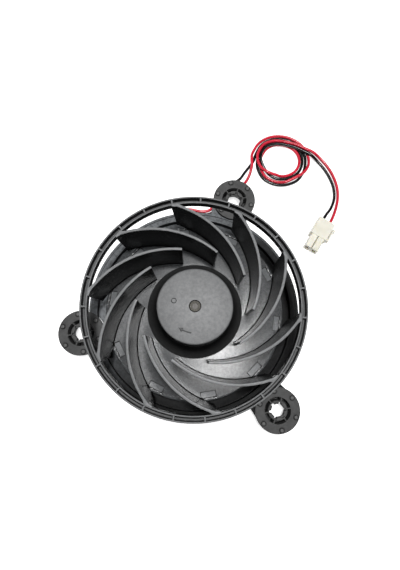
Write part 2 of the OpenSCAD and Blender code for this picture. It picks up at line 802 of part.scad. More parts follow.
module spacer_washer() {
    color("white") translate([0, 0, tube_top + groove_gap])
        hollow(tube_inner_r, shaft_r + fit_gap, washer_t + insert_gap - 2 * groove_gap);
}

module shaft_insert() {
    color("darkkhaki") translate([0, 0, insert_bottom])
        hollow(insert_r, shaft_r + fit_gap / 2, hub_top - insert_recess - insert_bottom);
}

module rotor_yoke() {
    color("slategray") rotate_extrude() {
        translate([yoke_r - yoke_t, yoke_bottom]) square([yoke_t, yoke_top - yoke_bottom]);
        translate([insert_r + fit_gap, yoke_top - yoke_t])
            square([yoke_r - insert_r - fit_gap, yoke_t]);
    }
}

module rotor_magnet() {
    color("dimgray") translate([0, 0, magnet_top - magnet_l])
        hollow(magnet_outer_r, magnet_inner_r, magnet_l);
}

// Impeller, moulded in one with its hub

module hub_profile() {
    difference() {
        union() {
            translate([0, plate_z]) square([hub_foot_r, plate_t]);
            translate([0, plate_top]) square([hub_r, hub_h - hub_round]);
            translate([0, hub_top - hub_round]) square([hub_r - hub_round, hub_round]);
            translate([hub_r - hub_round, hub_top - hub_round]) circle(r = hub_round);
            translate([0, plate_top]) square([hub_r + hub_step, flare_r + hub_step]);
            difference() {
                polygon([[0, plate_top - groove_gap], [hub_foot_r, plate_top - groove_gap],
                    flare_low, flare_high, [0, flare_high[1]]]);
                translate(flare_centre) circle(r = flare_curve_r);
            }
        }
        square([hub_r - hub_wall, hub_roof]);
        translate([0, hub_roof - cut]) square([insert_r + fit_gap, hub_h]);
    }
}

module rotation_arrow() {
    rotate(arrow_from - arrow_sweep) {
        rotate_extrude(angle = arrow_sweep)
            translate([arrow_r - arrow_w / 2, 0]) square([arrow_w, mark_h + groove_gap]);
        translate([arrow_r, 0, 0]) linear_extrude(mark_h + groove_gap)
            polygon([[-arrow_head / 2, 0], [arrow_head / 2, 0], [0, -arrow_head]]);
    }
}

module impeller_hub() {
    rib_reach = hub_r - hub_wall / 2 - yoke_r;
    color("darkslategray") {
        rotate_extrude() hub_profile();
        translate([0, 0, hub_top - groove_gap]) {
            rotation_arrow();
            rotate(mark_angle) translate([hub_r - mark_inset, 0, 0])
                hollow(mark_r, mark_r - mark_w, mark_h + groove_gap);
        }
        ring_of(hub_ribs) translate([yoke_r + fit_gap, -hub_rib_t / 2, yoke_bottom])
            cube([rib_reach, hub_rib_t, hub_roof + groove_gap - yoke_bottom]);
    }
}

module impeller_backplate() {
    color("dimgray") translate([0, 0, plate_z]) difference() {
        hollow(plate_r, hub_foot_r, plate_t);
        ring_of(blade_count, blade_start + pocket_turn)
            translate([pocket_r - pocket_w / 2, -pocket_l / 2, plate_t - pocket_d])
                cube([pocket_w, pocket_l, plate_t]);
    }
}

module blade_outline() {
    past_end = blade_out + 2 * blade_t * blade_along;
    intersection() {
        translate(blade_centre) difference() {
            circle(r = blade_curve_r + blade_t / 2, $fn = 128);
            circle(r = blade_curve_r - blade_t / 2, $fn = 128);
        }
        translate(blade_centre) polygon([[0, 0], blade_far * unit(blade_in - blade_centre),
            blade_far * blade_side, blade_far * unit(past_end - blade_centre)]);
        circle(r = ring_inner_r - fit_gap, $fn = 128);
    }
}

module impeller_blades() {
    color("darkslategray") ring_of(blade_count) translate([0, 0, plate_top])
        linear_extrude(blade_h) blade_outline();
}

module impeller_ring() {
    cell_hole_r = 0.5;
    rib_drop = 0.15;
    channel_r = (ring_inner_r + ring_r) / 2;
    color("darkslategray") translate([0, 0, front_z - ring_h]) {
        difference() {
            hollow(ring_r, ring_inner_r, ring_h);
            translate([0, 0, ring_floor])
                hollow(ring_r - ring_wall, ring_inner_r + ring_wall, ring_h);
            ring_of(rib_count, rib_start + 180 / rib_count) translate([channel_r, 0, -cut])
                cylinder(r = cell_hole_r, h = ring_h, $fn = 24);
        }
        ring_of(rib_count, rib_start)
            translate([ring_inner_r + ring_wall / 2, -rib_t / 2, ring_floor - groove_gap])
                cube([ring_w - ring_wall, rib_t, ring_h - ring_floor - rib_drop + groove_gap]);
    }
}

frame_dish();
ear(damper_top);  // ear_top
ear(damper_left);  // ear_left
ear(damper_right);  // ear_right
damper(damper_top);
damper(damper_left);
damper(damper_right);
bearing_tube();
thrust_pad();
sleeve_bearing(lower_bearing_z);  // lower_bearing
sleeve_bearing(upper_bearing_z);  // upper_bearing
circuit_board();
hall_sensor();
driver_chip();
board_capacitor();
lower_insulator();
stator_core();
upper_insulator();
stator_coils();
inner_red_lead();
inner_black_lead();
red_lead();
black_lead();
connector_housing();
connector_terminals();
shaft();
retaining_clip();
spacer_washer();
shaft_insert();
rotor_yoke();
rotor_magnet();
impeller_hub();
impeller_backplate();
impeller_blades();
impeller_ring();
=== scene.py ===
import math

import bmesh
import bpy
import numpy as np
from mathutils import Matrix, Vector


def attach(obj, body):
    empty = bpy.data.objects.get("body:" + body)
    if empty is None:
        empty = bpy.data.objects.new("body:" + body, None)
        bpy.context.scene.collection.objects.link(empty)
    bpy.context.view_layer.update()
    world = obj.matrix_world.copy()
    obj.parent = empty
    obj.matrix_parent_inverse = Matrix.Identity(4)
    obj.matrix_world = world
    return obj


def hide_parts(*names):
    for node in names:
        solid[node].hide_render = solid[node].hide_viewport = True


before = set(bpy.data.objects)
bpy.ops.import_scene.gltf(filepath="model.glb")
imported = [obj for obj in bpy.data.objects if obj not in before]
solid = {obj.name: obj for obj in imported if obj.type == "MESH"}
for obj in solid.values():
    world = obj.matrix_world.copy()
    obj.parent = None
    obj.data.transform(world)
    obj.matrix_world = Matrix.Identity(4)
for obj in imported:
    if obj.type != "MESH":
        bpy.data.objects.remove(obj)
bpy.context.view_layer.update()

# Dish of the frame, the round tray behind the impeller, with a raised rim and a foot under the motor.
# One injection moulding in dark glass-filled nylon with a fine spark-eroded grain; its three ears are
# part of the same shot, so they share its finish and its small moulded edge radius.
MM = 0.001


def new_finish(name):
    """A material with its shader, a function that adds one node, and one that sets or links a socket."""
    material = bpy.data.materials.new(name)
    material.use_nodes = True
    tree = material.node_tree

    def wire(node, key, value):
        if isinstance(value, bpy.types.NodeSocket):
            tree.links.new(value, node.inputs[key])
        else:
            node.inputs[key].default_value = value

    def add(kind, inputs, **settings):
        made = tree.nodes.new(kind)
        for key, value in settings.items():
            setattr(made, key, value)
        for key, value in inputs.items():
            wire(made, key, value)
        return made

    return material, tree.nodes["Principled BSDF"], add, wire


def grey(value, warm=0.0):
    """A grey as a colour; warm above 0 leans to brown and below 0 to blue."""
    return (value * (1 + warm), value, value * (1 - warm), 1.0)


def blend_of(add, low, high, where, left=0.35, right=0.65):
    """A colour that goes from low to high as the value of a texture goes from left to right."""
    ramp = add("ShaderNodeValToRGB", {"Fac": where})
    ramp.color_ramp.elements[0].position = left
    ramp.color_ramp.elements[0].color = low
    ramp.color_ramp.elements[1].position = right
    ramp.color_ramp.elements[1].color = high
    return ramp.outputs["Color"]


def moulded_plastic(name, deep, pale, painted_light_and_shade, rough, grain, depth, shine=0.5, patchy=0.12, sheen_rim=None):
    """Moulded plastic: two tones in a mottle of millimetres that rides on a slow cloud, a fine grain as bump and
    a gloss that drifts with the mottle. Where the mesh's attribute of painted light and shade is 1 it is painted
    paler as light, by patches as strong as patchy says, and below 0 it is painted black and rough as shade. With
    the height of a sheen rim, a painted sheen lies instead on what faces up towards the upper left: strongest on
    the rim, and fading out sooner below it."""
    material, shader, add, wire = new_finish(name)
    coordinates = add("ShaderNodeTexCoord", {})
    place = coordinates.outputs["Object"]
    cloud = add("ShaderNodeTexNoise", {"Vector": place, "Scale": 70.0, "Detail": 4.0, "Roughness": 0.6})
    mottle = add("ShaderNodeTexNoise", {"Vector": place, "Scale": 620.0, "Detail": 5.0, "Roughness": 0.72})
    fine = add("ShaderNodeTexNoise", {"Vector": place, "Scale": grain, "Detail": 3.0, "Roughness": 0.55})
    both = add("ShaderNodeMix", {0: 0.65, 2: cloud.outputs["Fac"], 3: mottle.outputs["Fac"]}).outputs[0]
    painted_tone = add("ShaderNodeAttribute", {}, attribute_name="painted_light_and_shade").outputs["Fac"]
    # Painted sheen: upward faces towards the upper left are paler, most at the rim's height.
    if sheen_rim is not None:
        toward = add("ShaderNodeVectorMath", {0: place, 1: (-0.65, 0.76, 0.0)}, operation="DOT_PRODUCT")
        upper_left_side = add("ShaderNodeMapRange", {"Value": toward.outputs["Value"], "From Min": -0.03, "From Max": 0.03})
        height = add("ShaderNodeSeparateXYZ", {"Vector": place}).outputs["Z"]
        low = add("ShaderNodeMapRange", {"Value": height, "From Min": sheen_rim, "From Max": sheen_rim - 0.0003,
                                         "To Min": 1.0, "To Max": 3.0})
        thick = add("ShaderNodeMath", {0: upper_left_side.outputs["Result"], 1: low.outputs["Result"]}, operation="POWER")
        faces = add("ShaderNodeSeparateXYZ", {"Vector": coordinates.outputs["Normal"]}).outputs["Z"]
        up = add("ShaderNodeMapRange", {"Value": faces, "From Min": 0.2, "From Max": 0.7})
        painted_sheen = add("ShaderNodeMath", {0: thick.outputs[0], 1: up.outputs["Result"]}, operation="MULTIPLY")
        painted_tone = painted_sheen.outputs[0]
    tone = blend_of(add, deep, pale, both, 0.38, 0.62)
    highlight_tone = blend_of(add, [(1 - patchy) * part for part in painted_light_and_shade[:3]] + [1],
                       [(1 + patchy) * part for part in painted_light_and_shade[:3]] + [1], both, 0.42, 0.58)
    # Painted light and shade from the attribute: above 0 a paler tone, below 0 black with full roughness.
    paler = add("ShaderNodeMix", {0: painted_tone, 6: tone, 7: highlight_tone}, data_type="RGBA")
    painted_shade = add("ShaderNodeMath", {0: painted_tone, 1: -1.0}, operation="MULTIPLY", use_clamp=True)
    mixed = add("ShaderNodeMix", {0: painted_shade.outputs[0], 6: paler.outputs[2], 7: grey(0.002)}, data_type="RGBA")
    wire(shader, "Base Color", mixed.outputs[2])
    gloss = add("ShaderNodeMapRange", {"Value": both, "From Min": 0.35, "From Max": 0.65,
                                       "To Min": rough + 0.05, "To Max": rough - 0.05})
    dull = add("ShaderNodeMath", {0: gloss.outputs["Result"], 1: painted_shade.outputs[0]}, operation="MAXIMUM")
    wire(shader, "Roughness", dull.outputs[0])
    bump = add("ShaderNodeBump", {"Height": fine.outputs["Fac"], "Strength": 0.5, "Distance": depth})
    wire(shader, "Normal", bump.outputs["Normal"])
    shader.inputs["Specular IOR Level"].default_value = shine
    return material


def settle(piece, body, material, stands_for=()):
    """Gives a piece its material and its body, and hides the CAD nodes that it stands for."""
    if not piece.users_collection:
        bpy.context.scene.collection.objects.link(piece)
    piece.data.materials.clear()
    piece.data.materials.append(material)
    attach(piece, body)
    if stands_for:
        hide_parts(*stands_for)
    return piece


def softened(node, name, radius, turn=25.0):
    """A node's solid with its keen edges rounded: a copy has its loose triangles merged and its flat ones
    joined, and each edge that turns by more than that angle gets a bevel of that radius in millimetres. The
    normals lean to the larger faces, so that the flats stay flat beside their bevels."""
    shape = bmesh.new()
    shape.from_mesh(solid[node].data)
    bmesh.ops.remove_doubles(shape, verts=shape.verts, dist=0.002 * MM)
    bmesh.ops.dissolve_limit(shape, angle_limit=math.radians(0.3), verts=shape.verts, edges=shape.edges)
    keen = [e for e in shape.edges if len(e.link_faces) == 2 and e.calc_face_angle(0) > math.radians(turn)]
    bmesh.ops.bevel(shape, geom=keen, offset=radius * MM, segments=2, profile=0.5, affect="EDGES",
                    clamp_overlap=True)
    mesh = bpy.data.meshes.new(name)
    shape.to_mesh(mesh)
    shape.free()
    mesh.shade_smooth()
    mesh.set_sharp_from_angle(angle=math.radians(32))
    piece = bpy.data.objects.new(name, mesh)
    even = piece.modifiers.new("even_light", "WEIGHTED_NORMAL")
    even.mode, even.weight, even.keep_sharp = "FACE_AREA", 100, True
    return piece


# The frame's plastic has a painted sheen: its upward faces towards the upper left are paler, most on the dish's
# rim.
frame_black = moulded_plastic("frame_black", grey(0.003, -0.05), grey(0.010, -0.05), grey(0.15, -0.05),
                              0.45, 2000.0, 0.00012, 0.1, patchy=0.35, sheen_rim=0.0089)
settle(softened("frame_dish", "dish", 0.22), "frame", frame_black, ["frame_dish"])
for side in ("top", "left", "right"):
    settle(softened("ear_" + side, "ear_skin_" + side, 0.25), "frame", frame_black,
           ["ear_" + side])

# Rubber dampers, one pressed into each ear: a flanged bush with a ring of deep slots, six gripping pads
# round its hole and six pips on the flange. Moulded in soft dark grey rubber with a matt, dusty bloom;
# the ear sits in the groove under the flange.
DAMPERS = {"top": (72.0, 67.5), "left": (64.7, 187.5), "right": (71.6, 306.5)}
DAMPER_TOP = 10.4
SLOT_IN, SLOT_OUT, SLOT_DEPTH = 5.4, 7.3, 7.0
SPOKE_HALF = 0.35
PIP_CIRCLE, PIP_R, PIP_H = 10.6, 1.25, 0.7


def ease(x):
    """0 below 0, 1 above 1, and a smooth S between."""
    x = np.clip(x, 0, 1)
    return x * x * (3 - 2 * x)


def grid_quads(rows, columns, round_rows, round_columns):
    """The four corners of each cell of a grid of points, going round where the grid closes on itself."""
    i = np.arange(rows if round_rows else rows - 1)[:, None]
    j = np.arange(columns if round_columns else columns - 1)[None, :]
    i2, j2 = (i + 1) % rows, (j + 1) % columns
    return np.stack([i * columns + j, i * columns + j2, i2 * columns + j2, i2 * columns + j], -1).reshape(-1, 4)


def skin(name, patches, crease=35.0, painted_light_and_shade=None):
    """One mesh from grids of points in millimetres, each given as (points, closes by rows, closes by columns).
    Doubles at seams and poles are merged and faces turned outwards; edges past the crease angle stay keen."""
    corners, faces, start = [], [], 0
    for points, round_rows, round_columns in patches:
        rows, columns = points.shape[:2]
        corners.append(points.reshape(-1, 3))
        faces.append(grid_quads(rows, columns, round_rows, round_columns) + start)
        start += rows * columns
    mesh = bpy.data.meshes.new(name)
    mesh.from_pydata((np.concatenate(corners) * MM).tolist(), [], np.concatenate(faces).tolist())
    # The attribute carries painted light and shade, one value at each point.
    if painted_light_and_shade is not None:
        layer = mesh.attributes.new("painted_light_and_shade", "FLOAT", "POINT")
        layer.data.foreach_set("value", np.concatenate([r.ravel() for r in painted_light_and_shade]).astype(np.float32))
    shape = bmesh.new()
    shape.from_mesh(mesh)
    bmesh.ops.remove_doubles(shape, verts=shape.verts, dist=0.001 * MM)
    bmesh.ops.holes_fill(shape, edges=[e for e in shape.edges if len(e.link_faces) == 1])
    bmesh.ops.recalc_face_normals(shape, faces=shape.faces)
    shape.to_mesh(mesh)
    shape.free()
    mesh.shade_smooth()
    mesh.set_sharp_from_angle(angle=math.radians(crease))
    return bpy.data.objects.new(name, mesh)


def matt_rubber():
    """Soft rubber: grey with dusty paler clouds, a fine pitted grain and hardly any gloss. The attribute of painted
    light and shade is 1 on the pips, painted paler as a highlight, and below 0 in the crevice round each, in the
    slots and on the hole's wall, painted black as shade."""
    material, shader, add, wire = new_finish("damper_grey")
    place = add("ShaderNodeTexCoord", {}).outputs["Object"]
    dust = add("ShaderNodeTexNoise", {"Vector": place, "Scale": 230.0, "Detail": 6.0, "Roughness": 0.65})
    pits = add("ShaderNodeTexNoise", {"Vector": place, "Scale": 3400.0, "Detail": 2.0})
    tone = blend_of(add, grey(0.030), grey(0.062), dust.outputs["Fac"])
    painted_tone = add("ShaderNodeAttribute", {}, attribute_name="painted_light_and_shade").outputs["Fac"]
    # Painted highlight above 0 and painted shade below 0.
    paler = add("ShaderNodeMix", {0: painted_tone, 6: tone, 7: grey(0.10)}, data_type="RGBA")
    painted_shade = add("ShaderNodeMath", {0: painted_tone, 1: -1.0}, operation="MULTIPLY", use_clamp=True)
    mixed = add("ShaderNodeMix", {0: painted_shade.outputs[0], 6: paler.outputs[2], 7: grey(0.006)}, data_type="RGBA")
    wire(shader, "Base Color", mixed.outputs[2])
    gloss = add("ShaderNodeMapRange", {"Value": dust.outputs["Fac"], "To Min": 0.5, "To Max": 0.7})
    wire(shader, "Roughness", gloss.outputs["Result"])
    bump = add("ShaderNodeBump", {"Height": pits.outputs["Fac"], "Strength": 0.6, "Distance": 0.00012})
    wire(shader, "Normal", bump.outputs["Normal"])
    return material


def damper_points(reach, turn):
    """A bush as one closed grid: columns go round it, thick beside each spoke, and rows follow its section
    from the hole over the top, down the flanges and back up the hole. The hole's radius swells at the notches,
    the top sinks in the slots and rises in the pips."""
    spoke = np.array([0.0, 0.4, 0.7, 0.9, 1.0, 1.12])
    half = np.concatenate([spoke, [4.6, 6, 7.5, 8.6, 9.4, 10.2, 11, 11.8, 12.6, 13.6, 15, 17, 19, 21],
                           np.arange(22.5, 30.1, 0.75)])
    is_spoke = np.arange(len(half)) < len(spoke)
    half = np.concatenate([half, -half[-2:0:-1]])
    is_spoke = np.concatenate([is_spoke, is_spoke[-2:0:-1]])
    sector = np.repeat(np.arange(6) * 60.0, len(half)) + np.tile(np.where(half < 0, 60.0, 0.0), 6)
    half, is_spoke = np.tile(half, 6), np.tile(is_spoke, 6)
    top = [(0.0, 9.9, 1), (0.06, 10.15, 1), (0.16, 10.32, 1), (0.32, 10.4, 1)]
    flat = [5.0, 5.2, 5.3, 5.36, 5.4, 5.45, 5.9, 6.8, 7.25, 7.3, 7.34, 7.4, 7.5, 7.8, 8.3, 8.8]
    flat += list(np.arange(9.05, 12.0, 0.17)) + [12.05]
    side = [(12.2, 10.4), (12.4, 10.34), (12.54, 10.2), (12.6, 10.0), (12.6, 9.2), (12.6, 8.6), (12.5, 8.42),
            (12.3, 8.4), (9.3, 8.4), (9.06, 8.36), (9.0, 8.2), (9.0, 7.0), (9.0, 5.85), (9.1, 5.72), (9.3, 5.7),
            (10.7, 5.7), (10.92, 5.62), (11.0, 5.4), (11.0, 4.5), (10.9, 4.28), (10.6, 4.18), (8.3, 3.8),
            (8.0, 3.72), (7.9, 3.5), (7.9, 0.7), (7.8, 0.4), (7.6, 0.15), (7.3, 0.0)]
    base = [(6.9, 0.0, 0), (6.6, 0.12, 0), (6.3, 0.5, 0), (5.0, 3.1, 0), (4.9, 5.4, 0),
            (0.5, 6.6, 1), (0.1, 7.3, 1)]
    rows = top + [(r, DAMPER_TOP, 0) for r in flat] + [(r, z, 0) for r, z in side] + base
    r, z, on_hole = (np.array(column)[:, None] for column in zip(*rows))
    wide = np.degrees(np.arcsin(SPOKE_HALF / np.clip(r + on_hole * 5, SLOT_IN, SLOT_OUT)))
    angle = np.where(is_spoke, half * wide, half)
    hole = 3.5 + 1.1 * ease((13.2 - np.abs(angle)) / 4.2)
    r = np.where(on_hole > 0, hole + r, r) + 0 * angle
    z = z + 0 * angle
    across = r * np.sin(np.radians(np.abs(angle))) - SPOKE_HALF
    depth_in = np.minimum(np.minimum(r - SLOT_IN, SLOT_OUT - r), across)
    on_top = (z > DAMPER_TOP - 0.01) & (r > 4.9) & (r < 8)
    lip = 0.14
    brow = lip * (1 - np.sqrt(np.clip(1 - (np.clip(depth_in + lip, 0, lip) / lip) ** 2, 0, 1)))
    z = z - np.where(on_top, np.where(depth_in > 0.02, SLOT_DEPTH, brow), 0)
    full = np.radians(sector[None, :] + angle)
    off = np.hypot(r - PIP_CIRCLE, r * np.radians(30 - np.abs(angle))) / PIP_R
    on_flange = (z > DAMPER_TOP - 0.01) & (r > 8.9)
    z = z + on_flange * PIP_H * np.sqrt(np.clip(1 - off ** 4, 0, 1))
    # Painted highlight on each pip and painted shade in the crevice round it; the slot floors and the hole's wall
    # are painted black as shade.
    painted_tone = on_flange * (0.9 * ease((0.85 - off) / 0.25) - ease((off - 0.8) / 0.2) * ease((1.5 - off) / 0.35))
    in_slot = (z > DAMPER_TOP - SLOT_DEPTH - 0.1) & (z < DAMPER_TOP - SLOT_DEPTH + 0.1) & (r > 5.3) & (r < 7.4)
    painted_tone = np.where(in_slot | ((on_hole > 0) & (z < 10.2)), -1, painted_tone)
    x, y = reach + r * np.cos(full), r * np.sin(full)
    c, s = math.cos(math.radians(turn)), math.sin(math.radians(turn))
    return np.stack([x * c - y * s, x * s + y * c, z], -1), painted_tone


damper_grey = matt_rubber()
for side, (reach, turn) in DAMPERS.items():
    points, painted_tone = damper_points(reach, turn)
    bush = skin("bush_" + side, [(points, True, True)], crease=50, painted_light_and_shade=[painted_tone])
    settle(bush, "frame", damper_grey, ["damper_" + side])

# Bearing tube and its two sleeve bearings with the thrust pad, pressed into the boss of the dish.
# The tube is turned brass, the bearings are oil-filled sintered bronze and the pad is white nylon.


def drawn_metal(name, low, high, rough, streak, stretch=(1.0, 1.0, 1.0)):
    """Bare metal: two tones and a gloss that follow fine streaks, drawn out along the longer axis of stretch."""
    material, shader, add, wire = new_finish(name)
    place = add("ShaderNodeTexCoord", {}).outputs["Object"]
    drawn = add("ShaderNodeMapping", {"Vector": place, "Scale": stretch}).outputs["Vector"]
    lines = add("ShaderNodeTexNoise", {"Vector": drawn, "Scale": streak, "Detail": 4.0, "Roughness": 0.6})
    wire(shader, "Base Color", blend_of(add, low, high, lines.outputs["Fac"]))
    gloss = add("ShaderNodeMapRange", {"Value": lines.outputs["Fac"], "To Min": rough - 0.1, "To Max": rough + 0.1})
    wire(shader, "Roughness", gloss.outputs["Result"])
    bump = add("ShaderNodeBump", {"Height": lines.outputs["Fac"], "Strength": 0.3, "Distance": 0.00005})
    wire(shader, "Normal", bump.outputs["Normal"])
    shader.inputs["Metallic"].default_value = 1.0
    return material


def clouded(name, low, high, rough, scale, depth=0.00005):
    """A moulded or coated skin: two tones in a cloud of that scale, with a light bump."""
    material, shader, add, wire = new_finish(name)
    place = add("ShaderNodeTexCoord", {}).outputs["Object"]
    cloud = add("ShaderNodeTexNoise", {"Vector": place, "Scale": scale, "Detail": 5.0, "Roughness": 0.6})
    wire(shader, "Base Color", blend_of(add, low, high, cloud.outputs["Fac"]))
    gloss = add("ShaderNodeMapRange", {"Value": cloud.outputs["Fac"],
                                       "To Min": rough - 0.08, "To Max": rough + 0.08})
    wire(shader, "Roughness", gloss.outputs["Result"])
    bump = add("ShaderNodeBump", {"Height": cloud.outputs["Fac"], "Strength": 0.3, "Distance": depth})
    wire(shader, "Normal", bump.outputs["Normal"])
    return material


turned_brass = drawn_metal("turned_brass", (0.60, 0.42, 0.16, 1), (0.76, 0.58, 0.27, 1), 0.32, 900.0, (1, 1, 14))
bearing_bronze = drawn_metal("bearing_bronze", (0.33, 0.20, 0.11, 1), (0.48, 0.31, 0.18, 1), 0.5, 2400.0)
white_nylon = clouded("white_nylon", grey(0.66, 0.02), grey(0.78, 0.02), 0.45, 160.0)
settle(solid["bearing_tube"], "frame", turned_brass)
for node in ("lower_bearing", "upper_bearing"):
    settle(solid[node], "frame", bearing_bronze)
settle(solid["thrust_pad"], "frame", white_nylon)

# Circuit board with its hall sensor, driver chip and capacitor, seated on the boss and three pegs.
# Green solder mask over copper on glass-fibre laminate; the parts are black and tan moulded packages.


def solder_mask():
    """Green lacquer with paler tracks that run in rings and rays, as a step of a wave and of a cloud."""
    material, shader, add, wire = new_finish("board_mask")
    place = add("ShaderNodeTexCoord", {}).outputs["Object"]
    rings = add("ShaderNodeTexWave", {"Vector": place, "Scale": 130.0, "Distortion": 2.5, "Detail": 1.0},
                wave_type="RINGS", rings_direction="Z")
    tracks = blend_of(add, (0.010, 0.085, 0.030, 1), (0.022, 0.17, 0.06, 1), rings.outputs["Fac"], 0.62, 0.68)
    wire(shader, "Base Color", tracks)
    bump = add("ShaderNodeBump", {"Height": rings.outputs["Fac"], "Strength": 0.4, "Distance": 0.00004})
    wire(shader, "Normal", bump.outputs["Normal"])
    shader.inputs["Roughness"].default_value = 0.28
    return material


chip_black = clouded("chip_black", grey(0.012), grey(0.022), 0.5, 1800.0)
settle(solid["circuit_board"], "frame", solder_mask())
for node in ("hall_sensor", "driver_chip"):
    settle(solid[node], "frame", chip_black)
settle(solid["board_capacitor"], "frame", clouded("capacitor_tan", (0.42, 0.27, 0.13, 1), (0.52, 0.36, 0.19, 1),
                                                  0.4, 900.0))

# Stator: a stack of silicon-steel sheets between two white nylon insulators, wound with enamelled wire.
# The stack is pressed on the bearing tube; each tooth carries one coil.


def sheet_stack():
    """Stamped steel sheets: dark lines between the sheets, as a wave along the stack's height."""
    material, shader, add, wire = new_finish("core_sheets")
    place = add("ShaderNodeTexCoord", {}).outputs["Object"]
    sheets = add("ShaderNodeTexWave", {"Vector": place, "Scale": 320.0, "Distortion": 0.3, "Detail": 1.0},
                 wave_type="BANDS", bands_direction="Z")
    wire(shader, "Base Color", blend_of(add, grey(0.16, 0.03), grey(0.48, 0.02), sheets.outputs["Fac"], 0.1, 0.4))
    bump = add("ShaderNodeBump", {"Height": sheets.outputs["Fac"], "Strength": 0.6, "Distance": 0.0001})
    wire(shader, "Normal", bump.outputs["Normal"])
    shader.inputs["Metallic"].default_value = 1.0
    shader.inputs["Roughness"].default_value = 0.45
    return material


def enamelled_wire():
    """Close turns of lacquered copper wire: a wave along the coil's length gives each turn its round back."""
    material, shader, add, wire = new_finish("coil_wire")
    place = add("ShaderNodeTexCoord", {}).outputs["Object"]
    turns = add("ShaderNodeTexWave", {"Vector": place, "Scale": 900.0, "Distortion": 0.8, "Detail": 1.0},
                wave_type="RINGS", rings_direction="Z")
    wire(shader, "Base Color", blend_of(add, (0.20, 0.055, 0.018, 1), (0.52, 0.19, 0.07, 1),
                                        turns.outputs["Fac"], 0.05, 0.6))
    bump = add("ShaderNodeBump", {"Height": turns.outputs["Fac"], "Strength": 0.8, "Distance": 0.00015})
    wire(shader, "Normal", bump.outputs["Normal"])
    shader.inputs["Metallic"].default_value = 0.85
    shader.inputs["Roughness"].default_value = 0.35
    return material


settle(solid["stator_core"], "frame", sheet_stack())
settle(solid["stator_coils"], "frame", enamelled_wire())
for node in ("lower_insulator", "upper_insulator"):
    settle(solid[node], "frame", white_nylon)

# Leads, one red and one black: stranded wire in glossy PVC, soldered to the board, clipped under the dish,
# then loose on the table in a coil of two turns, and crimped into the connector.
LEAD_D = 1.8
LEAD_Z = 1.75
EXIT_AT = 60 * np.array([math.cos(math.radians(95)), math.sin(math.radians(95))])
BOARD_HOLE = 17.6 * np.array([math.cos(math.radians(132)), math.sin(math.radians(132))])
ROUTE_SHIFT = (DAMPERS["top"][0] - 70.5) * np.array([math.cos(math.radians(67.5)), math.sin(math.radians(67.5)), 0])
COIL_AT = np.array([60.0, 95.0]) + ROUTE_SHIFT[:2]
CONN_AT, CONN_TURN = np.array([72.4, 33.8]) + ROUTE_SHIFT[:2], math.radians(-35)

red_start = [[-5.8, 62.6, 1.3], [-4, 64, 0.9], [0.4, 64, 0.9], [6, 62.6, 0.9], [10.4, 62.5, 0.9], [13.8, 64.2, 0.9],
             [16.3, 68.7, 0.9], [19, 74.4, 1.4], [23.2, 77.8, 2.7], [28.6, 78.8, 2.9], [33, 78.6, 1.6],
             [36.2, 80.6, 0.9], [38.9, 84.6, 1.6], [40.6, 89.2, 2.6], [41.2, 92.4, 2.9], [41.4, 95.8, 2.6]]
red_coil = [[162, 18.4, 1], [135, 17.8, 0.9], [110, 17.2, 0.9], [85, 16.9, 0.9], [60, 17.2, 0.9], [35, 18, 0.9],
            [10, 18.6, 0.9], [-12, 18.6, 1.8], [-35, 17.2, 3.1], [-58, 15.4, 2.3], [-85, 15.2, 0.9],
            [-110, 15.2, 0.9], [-135, 15, 0.9], [-160, 13.9, 0.9], [-180, 13, 0.9], [-200, 12, 0.9],
            [-225, 11.6, 0.9], [-250, 11.2, 0.9], [-275, 10.9, 0.9], [-300, 11.2, 0.9], [-325, 12, 0.9],
            [-350, 12.6, 0.9], [-375, 12.6, 0.9], [-400, 12.2, 0.9], [-425, 11.5, 0.9], [-450, 11.2, 1.1],
            [-472, 11.4, 2.4], [-495, 12.8, 3.3], [-518, 14.2, 2.9], [-540, 15, 2.9], [-560, 14.9, 2.9],
            [-585, 14.4, 2.9], [-610, 13.1, 2.9], [-632, 12.3, 2.9], [-655, 12.4, 2.9]]
red_end = [[71.2, 104.2, 2.9], [76.6, 101.4, 2.9], [81.8, 98.8, 2.5], [86.6, 94.8, 1.2], [90.8, 89, 0.9],
           [93.8, 82, 0.9], [95.3, 74.6, 0.9], [94.8, 67.2, 0.9], [92.4, 60, 1.6]]
black_start = [[-3.8, 61.2, 1.3], [-1.8, 62, 0.9], [2, 61.5, 0.9], [6.6, 60.5, 0.9], [11.4, 60.4, 0.9],
               [15.2, 62.4, 0.9], [18, 67.8, 0.9], [20.8, 72.8, 0.9], [24.3, 76.8, 0.9], [28.6, 80.4, 0.9],
               [33, 83.2, 0.9], [36.4, 87.4, 0.9], [39.8, 91.4, 0.9], [42.8, 95.4, 0.9]]
black_coil = [[162, 16.1, 0.9], [135, 15.7, 0.9], [110, 15.1, 0.9], [85, 14.8, 0.9], [60, 15.1, 0.9],
              [35, 15.9, 0.9], [10, 16.5, 0.9], [-12, 16.6, 0.9], [-35, 16.9, 0.9], [-58, 17.4, 0.9],
              [-85, 17.2, 0.9], [-110, 17.2, 0.9], [-135, 17, 0.9], [-160, 15.9, 0.9], [-180, 14.9, 0.9],
              [-200, 13.9, 0.9], [-225, 13.6, 0.9], [-250, 13.1, 0.9], [-275, 12.8, 0.9], [-300, 13.1, 0.9],
              [-325, 13.9, 0.9], [-350, 14.5, 0.9], [-375, 14.5, 0.9], [-400, 14.2, 0.9], [-425, 13.4, 0.9],
              [-450, 13.1, 0.9], [-472, 12.9, 0.9], [-495, 12.4, 1.2], [-518, 12.2, 2.1], [-540, 12.8, 2.9],
              [-560, 12.8, 2.9], [-585, 12.4, 2.9], [-610, 11.1, 2.9], [-632, 10.3, 2.9], [-655, 10.4, 2.9]]
black_end = [[69.6, 102.8, 2.9], [75.2, 99.8, 2.9], [80, 96.8, 2.8], [84.6, 92.8, 1.2], [88.6, 87.2, 0.9],
             [91.6, 80.4, 0.9], [93, 73.8, 0.9], [92.4, 67, 0.9], [89.4, 60.8, 1.6]]


